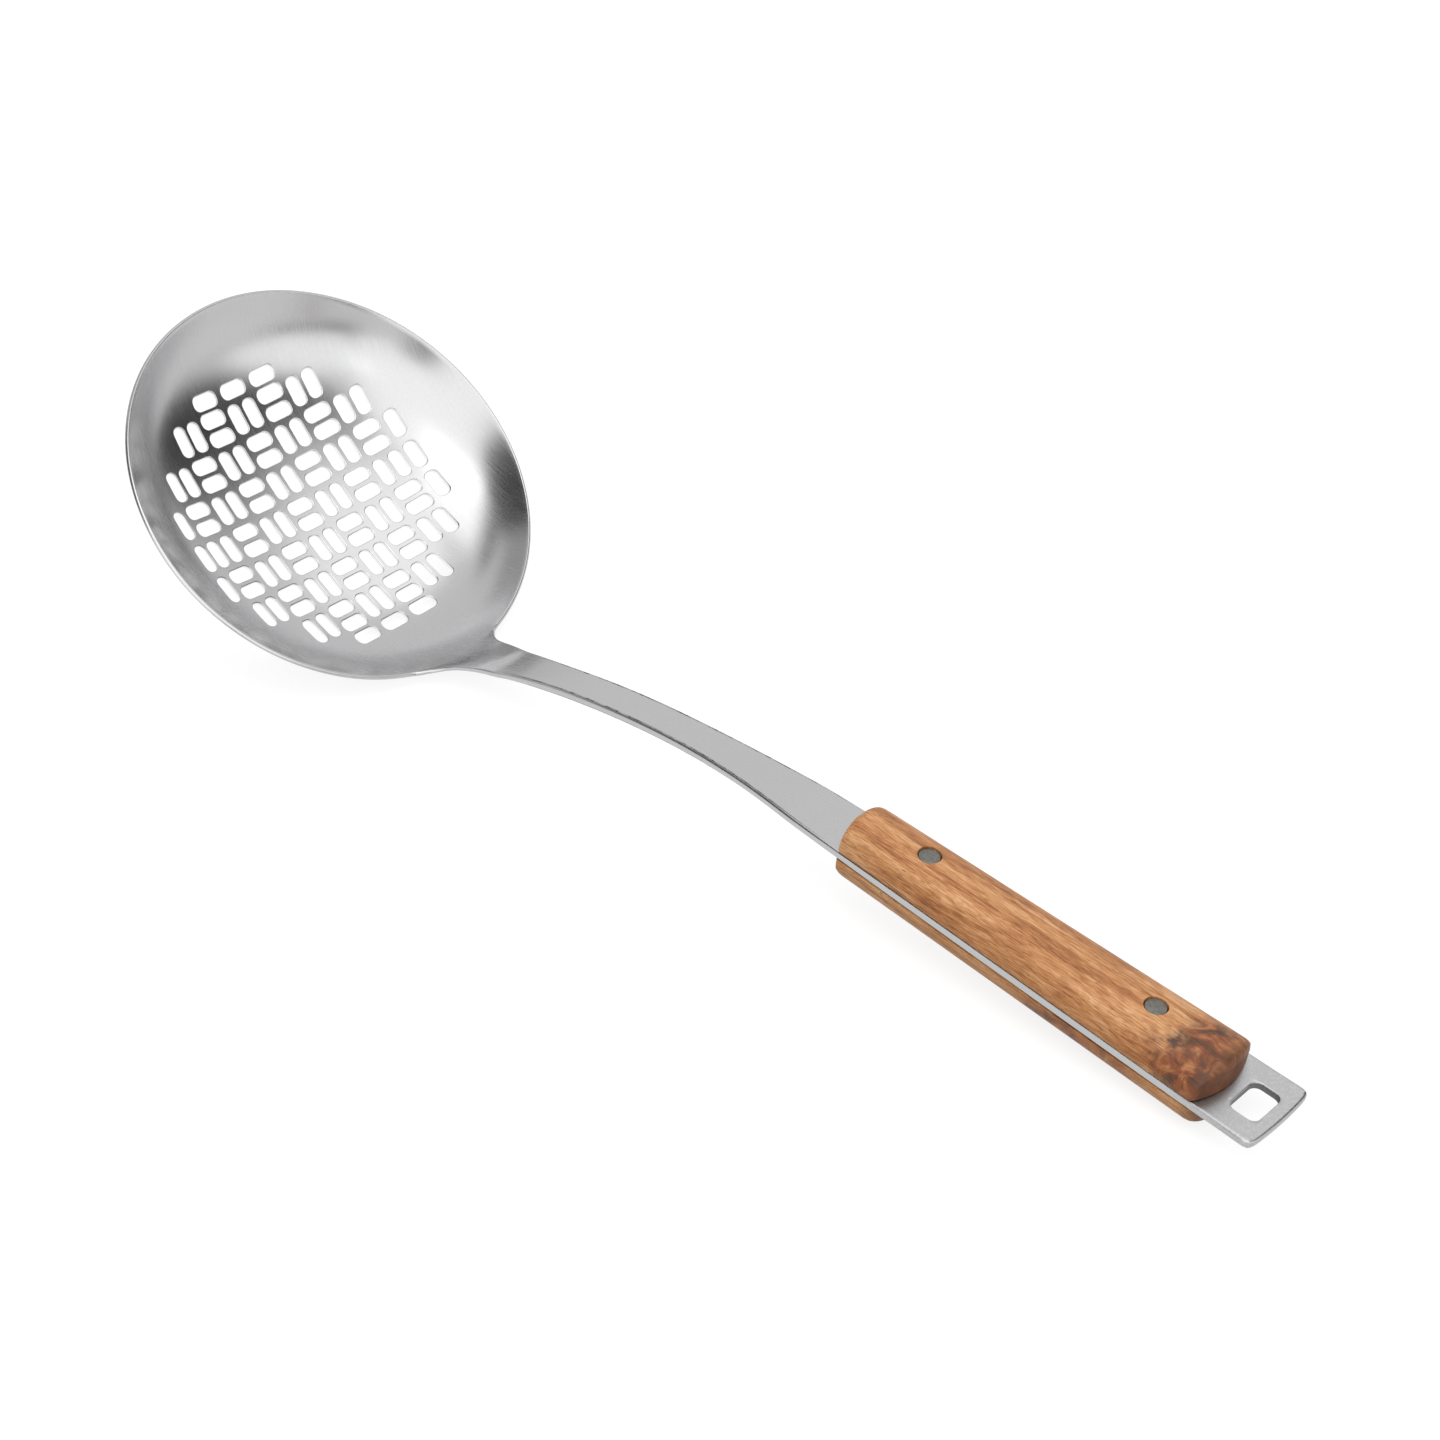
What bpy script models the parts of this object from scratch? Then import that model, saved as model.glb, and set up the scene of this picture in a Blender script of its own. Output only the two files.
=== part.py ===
# Kitchen skimmer: a pressed steel bowl pierced with a basket-weave of slots, whose neck, curved
# shank, tang and hanging tab are one piece of steel, with two wooden scales riveted to the tang.
# Metres, +Z up. The skimmer lies on a table at z = 0, on its bowl and the butt of its handle,
# with +X running from the bowl to the hanging tab.
import math

import bmesh
import bpy
import numpy as np
from mathutils import Vector

# Bowl, measured on its inner face, with the rim as the zero level
BOWL_RADIUS = 0.0570
BOWL_DEPTH = 0.0197
FLOOR_CURVE_SHARE = 0.50
BOWL_THICKNESS = 0.0011

# Slots: pairs that turn a quarter from one cell to the next, and single slots at the four edges
SLOT_PITCH = 0.01014
SLOT_PAIR_SPACING = 0.0052
SLOT_LENGTH = 0.0080
SLOT_WIDTH = 0.0039
SLOT_CORNER = 0.0017
EDGE_SLOT_DISTANCE = 0.0380
CELLS_FROM_CENTRE = 3

# Neck, shank and tang, along the middle of the upper face from the rim to the end of the tab
NECK_LENGTH = 0.0295
NECK_RISE_LENGTH = 0.0135
HOLLOW_LENGTH = 0.0200
SHANK_LENGTH = 0.0916
TAB_LENGTH = 0.0144
NECK_SLOPE = math.radians(59.8)
SHANK_SLOPE = math.radians(48.9)
HANDLE_SLOPE = math.radians(30.3)
SHANK_THICKNESS = 0.0021
NECK_ANGLE = math.radians(15)
NECK_WIDTH = 0.0199
NECK_FILLET = 0.0100
NECK_FLARE_LENGTH = 0.0428
SHANK_WIDTH = 0.0110
SHANK_FLARE_LENGTH = 0.0478
TANG_FRONT_WIDTH = 0.0163
TAB_WIDTH = 0.0248
TAB_CORNER = 0.0022
TAB_END_BULGE = 0.0006
EYE_LENGTH = 0.0076
EYE_WIDTH = 0.0116
EYE_CORNER = 0.0021
EYE_END_WALL = 0.0037

# Wooden scales
SCALE_SETBACK = 0.0138
SCALE_LENGTH = 0.1098
SCALE_THICKNESS = 0.0075
SCALE_ROUNDNESS = 2.4
SCALE_FRONT_BULGE = 0.0009
SCALE_BUTT_BULGE = 0.0026
SCALE_END_ROUND = 0.0025

# Rivets: a socket half from above and a post half from below, pressed into one another
FRONT_RIVET_INSET = 0.0211
REAR_RIVET_INSET = 0.0227
RIVET_HEAD_DIAMETER = 0.0054
RIVET_HEAD_THICKNESS = 0.0020
RIVET_RECESS = 0.0004
SOCKET_DIAMETER = 0.0040
POST_DIAMETER = 0.0023
RIVET_END_ROOM = 0.0010

# Room between pieces that touch
FIT_GAP = 0.0003

# Facets
BOWL_SIDES = 72
BOWL_RINGS = 10
RING_CROWDING = 0.6
NECK_ROWS = 10
NECK_ROW_CROWDING = 1.6
SHANK_ROWS = 14
SCALE_ROWS = 8
SCALE_SIDES = 16
ROUND_STEPS = 3
RIVET_SIDES = 24
SHARP_ANGLE = math.radians(35)

# Search for the tilt at which the skimmer lies on the table
STEEPEST_TILT = math.radians(80)
TILT_STEPS = 50

TANG_LENGTH = SCALE_SETBACK + SCALE_LENGTH + TAB_LENGTH
RIM_SLOPE = math.atan(BOWL_DEPTH / BOWL_RADIUS * (6 - 4 * FLOOR_CURVE_SHARE))
NECK_COLUMNS = 2 * round(NECK_ANGLE / (2 * math.pi / BOWL_SIDES))
STEEL_THICKNESS = max(BOWL_THICKNESS, SHANK_THICKNESS)
SCALE_BASE = {1: FIT_GAP, -1: -SHANK_THICKNESS - FIT_GAP}
HEAD_TOP = SCALE_BASE[1] + SCALE_THICKNESS - RIVET_RECESS
HEAD_BOTTOM = SCALE_BASE[-1] - SCALE_THICKNESS + RIVET_RECESS


def clear_scene():
    for obj in list(bpy.data.objects):
        bpy.data.objects.remove(obj, do_unlink=True)


def make_material(name, colour, roughness, metallic):
    material = bpy.data.materials.new(name)
    material.use_nodes = True
    shader = material.node_tree.nodes["Principled BSDF"]
    shader.inputs["Base Color"].default_value = (*colour, 1)
    shader.inputs["Roughness"].default_value = roughness
    shader.inputs["Metallic"].default_value = metallic
    return material


def make_object(name, form, parent, material=None):
    """Turns a bmesh into an object. Without a material it is a cutter."""
    if all(edge.is_manifold for edge in form.edges):
        bmesh.ops.recalc_face_normals(form, faces=form.faces)
    mesh = bpy.data.meshes.new(name)
    form.to_mesh(mesh)
    form.free()
    obj = bpy.data.objects.new(name, mesh)
    bpy.context.scene.collection.objects.link(obj)
    obj.parent = parent
    if material is None:
        obj.hide_render = True
        obj.display_type = "WIRE"
    else:
        mesh.materials.append(material)
        mesh.shade_smooth()
        mesh.set_sharp_from_angle(angle=SHARP_ANGLE)
    return obj


def make_empty(name, parent=None):
    empty = bpy.data.objects.new(name, None)
    bpy.context.scene.collection.objects.link(empty)
    empty.parent = parent
    return empty


def cut(obj, cutter):
    modifier = obj.modifiers.new("cut " + cutter.name, "BOOLEAN")
    modifier.operation = "DIFFERENCE"
    modifier.solver = "EXACT"
    modifier.object = cutter


def fade(share):
    """Falls smoothly from 1 to 0 as share goes from 0 to 1."""
    share = min(max(share, 0), 1)
    return 1 - share * share * (3 - 2 * share)


def bowl_height(radius):
    """Inner face of the bowl: a gentle floor that steepens into the wall."""
    share = radius / BOWL_RADIUS
    rise = FLOOR_CURVE_SHARE * share**2 + (1 - FLOOR_CURVE_SHARE) * share**6
    return BOWL_DEPTH * (rise - 1)


def path_point(distance):
    """Point and slope of the upper face, along the neck, shank and tang from the rim."""
    legs = (
        (NECK_RISE_LENGTH, RIM_SLOPE, NECK_SLOPE),
        (NECK_LENGTH - NECK_RISE_LENGTH, NECK_SLOPE, SHANK_SLOPE),
        (SHANK_LENGTH, SHANK_SLOPE, HANDLE_SLOPE),
        (TANG_LENGTH, HANDLE_SLOPE, HANDLE_SLOPE),
    )
    x, z = BOWL_RADIUS, 0
    for length, start, end in legs:
        run = min(distance, length)
        slope = start + (end - start) * run / length
        middle = (start + slope) / 2
        half_turn = (slope - start) / 2
        chord = run * math.sin(half_turn) / half_turn if half_turn else run
        x += chord * math.cos(middle)
        z += chord * math.sin(middle)
        distance -= run
        if distance <= 0:
            break
    return x, z, slope


def shank_half_width(distance):
    """Half width of the steel, from the fillet at the rim to the front of the tang."""
    flare = max(1 - distance / NECK_FLARE_LENGTH, 0) ** 2
    fillet = max(1 - distance / NECK_FILLET, 0) ** 2
    swell = max(1 - (NECK_LENGTH + SHANK_LENGTH - distance) / SHANK_FLARE_LENGTH, 0) ** 2
    width = SHANK_WIDTH
    width += (NECK_WIDTH - SHANK_WIDTH) * flare
    width += (2 * BOWL_RADIUS * math.sin(NECK_ANGLE) - NECK_WIDTH) * fillet
    width += (TANG_FRONT_WIDTH - SHANK_WIDTH) * swell
    return width / 2


def tang_half_width(along):
    """Half width of the tang and its scales, by distance from the front of the tang."""
    return (TANG_FRONT_WIDTH + (TAB_WIDTH - TANG_FRONT_WIDTH) * along / TANG_LENGTH) / 2


def neck_row(distance):
    """Points across the neck or shank: hollow beside the bowl, flat on the shank."""
    x, z, slope = path_point(distance)
    hollow = BOWL_RADIUS * (1 - math.cos(NECK_ANGLE)) * fade(distance / HOLLOW_LENGTH)
    back = hollow * math.cos(RIM_SLOPE)
    lift = hollow * math.sin(RIM_SLOPE)
    along = Vector((math.cos(slope), 0, math.sin(slope)))
    normal = Vector((-math.sin(slope), 0, math.cos(slope)))
    points = []
    for column in range(NECK_COLUMNS + 1):
        across = 2 * column / NECK_COLUMNS - 1
        middle = Vector((x, across * shank_half_width(distance), z))
        points.append(middle + (lift * normal - back * along) * across**2)
    return points


def tang_row(inset):
    """Points across the tang or tab, by distance from the end of the tab, with rounded corners."""
    x, z, slope = path_point(NECK_LENGTH + SHANK_LENGTH + TANG_LENGTH - inset)
    half_width = tang_half_width(TANG_LENGTH - inset)
    corner = max(TAB_CORNER - inset, 0)
    half_width -= TAB_CORNER - math.sqrt(TAB_CORNER**2 - corner**2)
    points = []
    for column in range(NECK_COLUMNS + 1):
        across = 2 * column / NECK_COLUMNS - 1
        bow = TAB_END_BULGE * across**2 * fade(inset / TAB_CORNER)
        points.append(Vector((x - bow * math.cos(slope), across * half_width, z - bow * math.sin(slope))))
    return points


def steel_rows():
    """Rows of points from just past the rim to the end of the tab, with the thickness at each."""
    distances = [NECK_LENGTH * (row / NECK_ROWS) ** NECK_ROW_CROWDING for row in range(1, NECK_ROWS + 1)]
    distances += [NECK_LENGTH + SHANK_LENGTH * row / SHANK_ROWS for row in range(1, SHANK_ROWS + 1)]
    rows = []
    for distance in distances:
        thin = fade(distance / NECK_FLARE_LENGTH)
        thickness = SHANK_THICKNESS + (BOWL_THICKNESS - SHANK_THICKNESS) * thin
        rows.append((neck_row(distance), thickness))
    insets = [TAB_LENGTH, TAB_CORNER]
    for step in range(1, ROUND_STEPS + 1):
        insets.append(TAB_CORNER * (1 - math.sin(step * math.pi / 2 / ROUND_STEPS)))
    rows += [(tang_row(inset), SHANK_THICKNESS) for inset in insets]
    return rows


def make_steel(parent, material):
    """The bowl as a polar net, with the neck and shank growing out of its rim, then thickened."""
    form = bmesh.new()
    thickness = []
    centre = form.verts.new((0, 0, bowl_height(0)))
    thickness.append(BOWL_THICKNESS)
    rings = []
    for ring in range(1, BOWL_RINGS + 1):
        radius = BOWL_RADIUS * (ring / BOWL_RINGS) ** RING_CROWDING
        verts = []
        for side in range(BOWL_SIDES):
            turn = (side - NECK_COLUMNS // 2) * 2 * math.pi / BOWL_SIDES
            spot = (radius * math.cos(turn), radius * math.sin(turn), bowl_height(radius))
            verts.append(form.verts.new(spot))
            thickness.append(BOWL_THICKNESS)
        rings.append(verts)
    for side in range(BOWL_SIDES):
        following = (side + 1) % BOWL_SIDES
        form.faces.new((centre, rings[0][side], rings[0][following]))
        for inner, outer in zip(rings, rings[1:]):
            form.faces.new((inner[side], outer[side], outer[following], inner[following]))
    last = rings[-1][: NECK_COLUMNS + 1]
    for points, thick in steel_rows():
        row = [form.verts.new(point) for point in points]
        thickness += [thick] * len(row)
        for column in range(NECK_COLUMNS):
            form.faces.new((last[column], row[column], row[column + 1], last[column + 1]))
        last = row
    steel = make_object("steel_body", form, parent, material)
    group = steel.vertex_groups.new(name="thickness")
    for index, thick in enumerate(thickness):
        group.add([index], thick / STEEL_THICKNESS, "REPLACE")
    shell = steel.modifiers.new("sheet thickness", "SOLIDIFY")
    shell.thickness = STEEL_THICKNESS
    shell.offset = -1
    shell.use_even_offset = True
    shell.vertex_group = group.name
    return steel


def rounded_outline(length, width, corner):
    """Points round a rectangle with round corners, length along X."""
    points = []
    for quarter in range(4):
        side_x = 1 if quarter in (0, 3) else -1
        side_y = 1 if quarter in (0, 1) else -1
        for step in range(ROUND_STEPS):
            turn = (quarter + step / (ROUND_STEPS - 1)) * math.pi / 2
            x = side_x * (length / 2 - corner) + corner * math.cos(turn)
            y = side_y * (width / 2 - corner) + corner * math.sin(turn)
            points.append((x, y))
    return points


def add_prism(form, outline, bottom, top):
    face = form.faces.new([form.verts.new((x, y, bottom)) for x, y in outline])
    grown = bmesh.ops.extrude_face_region(form, geom=[face])["geom"]
    risen = [part for part in grown if isinstance(part, bmesh.types.BMVert)]
    bmesh.ops.translate(form, verts=risen, vec=(0, 0, top - bottom))


def slot_places():
    """Middle of each slot, and whether it lies across the handle's direction."""
    reach = range(-CELLS_FROM_CENTRE, CELLS_FROM_CENTRE + 1)
    for row in reach:
        for column in reach:
            if abs(row) == abs(column) == CELLS_FROM_CENTRE:
                continue
            x, y = row * SLOT_PITCH, column * SLOT_PITCH
            across = (row + column) % 2 == 0
            for half in (-SLOT_PAIR_SPACING / 2, SLOT_PAIR_SPACING / 2):
                yield (x + half, y, True) if across else (x, y + half, False)
    for side in (-EDGE_SLOT_DISTANCE, EDGE_SLOT_DISTANCE):
        for step in (-1, 0, 1):
            yield side, step * SLOT_PITCH, True
            yield step * SLOT_PITCH, side, False


def make_slot_cutter(parent):
    form = bmesh.new()
    outline = rounded_outline(SLOT_LENGTH, SLOT_WIDTH, SLOT_CORNER)
    for x, y, across in slot_places():
        if across:
            places = [(x - v, y + u) for u, v in outline]
        else:
            places = [(x + u, y + v) for u, v in outline]
        add_prism(form, places, -2 * BOWL_DEPTH, 0)
    return make_object("slot_cutter", form, parent)


def make_eye_cutter(handle):
    form = bmesh.new()
    middle = TANG_LENGTH - EYE_END_WALL - EYE_LENGTH / 2
    outline = rounded_outline(EYE_LENGTH, EYE_WIDTH, EYE_CORNER)
    places = [(middle + x, y) for x, y in outline]
    add_prism(form, places, -2 * SHANK_THICKNESS, SHANK_THICKNESS)
    return make_object("eye_cutter", form, handle)


def turn_profile(profile):
    """Turns (radius, height) points about Z into a closed solid."""
    form = bmesh.new()
    verts = [form.verts.new((radius, 0, height)) for radius, height in profile]
    edges = [form.edges.new(pair) for pair in zip(verts, verts[1:])]
    bmesh.ops.spin(
        form,
        geom=verts + edges,
        cent=(0, 0, 0),
        axis=(0, 0, 1),
        angle=2 * math.pi,
        steps=RIVET_SIDES,
        use_merge=True,
    )
    bmesh.ops.remove_doubles(form, verts=form.verts, dist=1e-7)
    return form


def scale_point(across, height, spot, side):
    """A point of a scale. spot runs from 0 at its front end to 1 at its butt."""
    front = SCALE_SETBACK + SCALE_FRONT_BULGE * across**2
    butt = SCALE_SETBACK + SCALE_LENGTH - SCALE_BUTT_BULGE * across**2
    x = front + (butt - front) * spot
    return x, across * tang_half_width(x), SCALE_BASE[side] + side * SCALE_THICKNESS * height


def make_scale(name, side, handle, material):
    """A wooden scale: a flat base, a full round back, bowed ends with rounded edges."""
    form = bmesh.new()
    ends = []
    for step in range(ROUND_STEPS):
        turn = step * math.pi / 2 / ROUND_STEPS
        inset = SCALE_END_ROUND * (1 - math.cos(turn)) / SCALE_LENGTH
        ends.append((inset, 1 - SCALE_END_ROUND / SCALE_THICKNESS * (1 - math.sin(turn))))
    inner = SCALE_END_ROUND / SCALE_LENGTH
    middle = [(inner + (1 - 2 * inner) * row / SCALE_ROWS, 1) for row in range(SCALE_ROWS + 1)]
    stations = ends + middle + [(1 - spot, share) for spot, share in reversed(ends)]
    section = []
    for step in range(SCALE_SIDES + 1):
        turn = math.pi * step / SCALE_SIDES
        across = math.copysign(abs(math.cos(turn)) ** (2 / SCALE_ROUNDNESS), math.cos(turn))
        section.append((across, math.sin(turn) ** (2 / SCALE_ROUNDNESS)))
    section[0], section[-1] = (1, 0), (-1, 0)
    loops = []
    for spot, share in stations:
        back = [form.verts.new(scale_point(u, h * share, spot, side)) for u, h in section]
        base = [form.verts.new(scale_point(u, 0, spot, side)) for u, _ in section[1:-1]]
        loops.append((back, [back[0], *base, back[-1]]))
    for (back, base), (next_back, next_base) in zip(loops, loops[1:]):
        for column in range(SCALE_SIDES):
            pair = slice(column, column + 2)
            form.faces.new((*back[pair], *reversed(next_back[pair])))
            form.faces.new((*base[pair], *reversed(next_base[pair])))
    for back, base in (loops[0], loops[-1]):
        for column in range(SCALE_SIDES):
            corners = dict.fromkeys((*back[column : column + 2], *reversed(base[column : column + 2])))
            form.faces.new(list(corners))
    return make_object(name, form, handle, material)


def make_rivet_bore(name, handle, along):
    """A stepped bore through both scales and the tang."""
    form = turn_profile(
        (
            (0, HEAD_TOP + SCALE_THICKNESS),
            (RIVET_HEAD_DIAMETER / 2 + FIT_GAP, HEAD_TOP + SCALE_THICKNESS),
            (RIVET_HEAD_DIAMETER / 2 + FIT_GAP, HEAD_TOP - RIVET_HEAD_THICKNESS - FIT_GAP),
            (SOCKET_DIAMETER / 2 + FIT_GAP, HEAD_TOP - RIVET_HEAD_THICKNESS - FIT_GAP),
            (SOCKET_DIAMETER / 2 + FIT_GAP, HEAD_BOTTOM + RIVET_HEAD_THICKNESS + FIT_GAP),
            (RIVET_HEAD_DIAMETER / 2 + FIT_GAP, HEAD_BOTTOM + RIVET_HEAD_THICKNESS + FIT_GAP),
            (RIVET_HEAD_DIAMETER / 2 + FIT_GAP, HEAD_BOTTOM - SCALE_THICKNESS),
            (0, HEAD_BOTTOM - SCALE_THICKNESS),
        )
    )
    bore = make_object(name, form, handle)
    bore.location.x = along
    return bore


def make_socket(name, handle, along, material):
    """Upper half of a rivet: a flat head on a tube."""
    neck = HEAD_TOP - RIVET_HEAD_THICKNESS
    end = HEAD_BOTTOM + RIVET_HEAD_THICKNESS + RIVET_END_ROOM
    form = turn_profile(
        (
            (0, HEAD_TOP),
            (RIVET_HEAD_DIAMETER / 2, HEAD_TOP),
            (RIVET_HEAD_DIAMETER / 2, neck),
            (SOCKET_DIAMETER / 2, neck),
            (SOCKET_DIAMETER / 2, end),
            (POST_DIAMETER / 2 + FIT_GAP, end),
            (POST_DIAMETER / 2 + FIT_GAP, neck),
            (0, neck),
        )
    )
    socket = make_object(name, form, handle, material)
    socket.location.x = along
    return socket


def make_post(name, handle, along, material):
    """Lower half of a rivet: a flat head on a pin that fills the tube."""
    neck = HEAD_BOTTOM + RIVET_HEAD_THICKNESS
    form = turn_profile(
        (
            (0, HEAD_TOP - RIVET_HEAD_THICKNESS - FIT_GAP),
            (POST_DIAMETER / 2, HEAD_TOP - RIVET_HEAD_THICKNESS - FIT_GAP),
            (POST_DIAMETER / 2, neck),
            (RIVET_HEAD_DIAMETER / 2, neck),
            (RIVET_HEAD_DIAMETER / 2, HEAD_BOTTOM),
            (0, HEAD_BOTTOM),
        )
    )
    post = make_object(name, form, handle, material)
    post.location.x = along
    return post


def world_points(obj):
    """World coordinates of an object's points, as its modifiers leave them."""
    bpy.context.view_layer.update()
    evaluated = obj.evaluated_get(bpy.context.evaluated_depsgraph_get())
    mesh = evaluated.to_mesh()
    points = np.array([evaluated.matrix_world @ vert.co for vert in mesh.vertices])
    evaluated.to_mesh_clear()
    return points


def lie_down(rest, steel, lower_scale):
    """Tilts and moves the whole skimmer until the bowl and the lower scale both touch the table."""
    steel_points = world_points(steel)
    scale_points = world_points(lower_scale)

    def lowest(points, tilt):
        return (points[:, 2] * math.cos(tilt) - points[:, 0] * math.sin(tilt)).min()

    low, high = 0, STEEPEST_TILT
    for _ in range(TILT_STEPS):
        tilt = (low + high) / 2
        if lowest(scale_points, tilt) > lowest(steel_points, tilt):
            low = tilt
        else:
            high = tilt
    lengthwise = steel_points[:, 0] * math.cos(tilt) + steel_points[:, 2] * math.sin(tilt)
    rest.rotation_euler.y = tilt
    rest.location.x = -(lengthwise.min() + lengthwise.max()) / 2
    rest.location.z = -min(lowest(steel_points, tilt), lowest(scale_points, tilt))


clear_scene()
rest = make_empty("rest_pose")
handle = make_empty("handle_frame", rest)
handle_x, handle_z, handle_slope = path_point(NECK_LENGTH + SHANK_LENGTH)
handle.location = (handle_x, 0, handle_z)
handle.rotation_euler.y = -handle_slope

steel = make_steel(rest, make_material("satin_steel", (0.60, 0.60, 0.60), 0.32, 1))
upper_scale = make_scale("upper_scale", 1, handle, make_material("upper_wood", (0.46, 0.21, 0.08), 0.55, 0))
lower_scale = make_scale("lower_scale", -1, handle, make_material("lower_wood", (0.38, 0.16, 0.06), 0.55, 0))

rivets = {
    "front": SCALE_SETBACK + FRONT_RIVET_INSET,
    "rear": SCALE_SETBACK + SCALE_LENGTH - REAR_RIVET_INSET,
}
for end, along in rivets.items():
    bore = make_rivet_bore(end + "_rivet_bore", handle, along)
    for piece in (steel, upper_scale, lower_scale):
        cut(piece, bore)
    metal = make_material(end + "_rivet_metal", (0.20, 0.22, 0.22), 0.5, 1)
    make_socket(end + "_rivet_socket", handle, along, metal)
    make_post(end + "_rivet_post", handle, along, metal.copy())

cut(steel, make_slot_cutter(rest))
cut(steel, make_eye_cutter(handle))
lie_down(rest, steel, lower_scale)
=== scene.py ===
import math

import bmesh
import bpy
from mathutils import Matrix, Vector


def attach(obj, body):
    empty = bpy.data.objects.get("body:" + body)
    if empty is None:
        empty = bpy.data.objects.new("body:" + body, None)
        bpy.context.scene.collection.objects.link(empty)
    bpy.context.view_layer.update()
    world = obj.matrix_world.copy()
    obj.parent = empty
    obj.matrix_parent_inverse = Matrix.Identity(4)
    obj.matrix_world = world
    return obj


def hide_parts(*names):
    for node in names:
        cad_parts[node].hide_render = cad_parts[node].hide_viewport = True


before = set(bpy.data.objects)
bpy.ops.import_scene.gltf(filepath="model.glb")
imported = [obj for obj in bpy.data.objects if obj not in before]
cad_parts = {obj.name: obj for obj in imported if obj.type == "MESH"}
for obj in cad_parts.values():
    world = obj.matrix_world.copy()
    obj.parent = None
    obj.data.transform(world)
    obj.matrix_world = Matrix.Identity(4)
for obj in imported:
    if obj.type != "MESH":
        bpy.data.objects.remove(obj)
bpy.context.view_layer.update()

# Where the bowl's middle and the tang's front lie on the table, metres, and their tilt about Y, degrees
lying = {"bowl": ((-0.1274803, 0, 0.0363034), 35.2963), "handle": ((0.0376247, 0, 0.0204092), 4.9964)}
bowlFrame, handleFrame = (Matrix.Translation(origin) @ Matrix.Rotation(math.radians(tilt), 4, "Y")
                          for origin, tilt in lying.values())
tiny = 1e-6  # metres, far below any real feature


def linear(hexColour):  # sRGB hex to the linear colour a socket takes
    shares = [int(hexColour[i:i + 2], 16) / 255 for i in (1, 3, 5)]
    return (*[c / 12.92 if c <= 0.04045 else ((c + 0.055) / 1.055) ** 2.4 for c in shares], 1)


def addNode(tree, kind, settings=None, links=None, stops=None):
    node = tree.nodes.new(kind)
    for key, value in (settings or {}).items():
        if isinstance(key, int) or key in node.inputs:
            node.inputs[key].default_value = value
        else:
            setattr(node, key, value)
    for key, socket in (links or {}).items():
        tree.links.new(socket, node.inputs[key])
    if stops:  # a colour ramp's places and colours
        ramp = node.color_ramp.elements
        while len(ramp) < len(stops):
            ramp.new(0.5)
        for element, (place, colour) in zip(ramp, stops):
            element.position = place
            element.color = linear(colour)
    return node


def freshStart():
    if bpy.context.object and bpy.context.object.mode != "OBJECT":
        bpy.ops.object.mode_set(mode="OBJECT")
    bpy.ops.object.select_all(action="DESELECT")


def pickOnly(piece):
    freshStart()
    piece.select_set(True)
    bpy.context.view_layer.objects.active = piece


def applyModifier(piece, kind, **settings):
    pickOnly(piece)
    modifier = piece.modifiers.new(kind.lower(), kind)
    for key, value in settings.items():
        setattr(modifier, key, value)
    bpy.ops.object.modifier_apply(modifier=modifier.name)


def settle(piece, place):  # puts a piece in its frame, with its place in its mesh
    pickOnly(piece)
    piece.matrix_world = place
    bpy.ops.object.transform_apply(location=True, rotation=True, scale=True)


def cutAway(piece, punch):
    applyModifier(piece, "BOOLEAN", operation="DIFFERENCE", solver="MANIFOLD", object=punch)
    bpy.data.objects.remove(punch, do_unlink=True)


def joinAll(copies):
    freshStart()
    for copy in copies:
        copy.select_set(True)
    bpy.context.view_layer.objects.active = copies[0]
    bpy.ops.object.join()
    return bpy.context.object


def copyOf(piece, place):
    twin = piece.copy()
    twin.data = piece.data.copy()
    bpy.context.scene.collection.objects.link(twin)
    twin.data.transform(place)
    return twin


def fade(share):  # smooth fall from 1 to 0
    share = min(max(share, 0), 1)
    return 1 - share * share * (3 - 2 * share)


def finishPiece(piece, name, material, slotName, smoothAngle, *nodes):
    pickOnly(piece)
    piece.name = name
    bpy.ops.object.mode_set(mode="EDIT")
    bpy.ops.mesh.select_all(action="SELECT")
    bpy.ops.mesh.remove_doubles(threshold=tiny)  # closes slivers that the cuts leave
    bpy.ops.object.mode_set(mode="OBJECT")
    bpy.ops.object.shade_smooth_by_angle(angle=math.radians(smoothAngle))
    piece.data.materials.clear()
    piece.data.materials.append(material)
    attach(piece, "root")
    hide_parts(*nodes)
    print(name, len(piece.data.polygons), "faces")


# Materials

def makeMaterial(name):
    material = bpy.data.materials.new(name)
    material.use_nodes = True
    tree = material.node_tree
    return material, tree, tree.nodes["Principled BSDF"]


brushedSteelLook = {
    "colours": ("#aeaeaf", "#c5c5c6"),
    "mottleMm": 0.6, "mottle": 0.15,  # share of the mottle that shows away from the tab
    "roughness": (0.20, 0.29),
    "grainMm": (9.0, 0.14),  # length and width of one brush line, drawn a little wide so it shows
    "grainDepthMm": 0.0016,
}
# walls of the eye: rougher like a sheared edge; their dark grey is partly the edge's own tone and partly painted shade
# in the recess
shearedEdgePaintedShadeLook = {"colours": ("#707072", "#878789"), "mottleMm": 0.4, "mottle": 1, "roughness": (0.38, 0.52),
                    "grainMm": (0.5, 0.5), "grainDepthMm": 0.006}
# walls of the slots: the low roughness is a burnished edge's gloss; the near-white colour is painted light
burnishedEdgePaintedLightLook = {"colours": ("#ececec", "#f4f4f4"), "mottleMm": 0.4, "mottle": 1, "roughness": (0.12, 0.20),
                      "grainMm": (0.5, 0.5), "grainDepthMm": 0.001}
steelPattern = {"driftMm": 11.1111, "driftShare": 0.35, "roughStops": (0.3, 0.7),  # slow drift of the gloss
                "colourStops": (0.25, 0.75), "grainStrength": 0.25}
tabFinishAndPaintedShade = {"start": 0.150, "end": 0.162,  # the tab is tumbled duller, and its colour is pulled down as painted shade; metres along X
             "roughness": 0.12, "paintedShade": 0.2}


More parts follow.
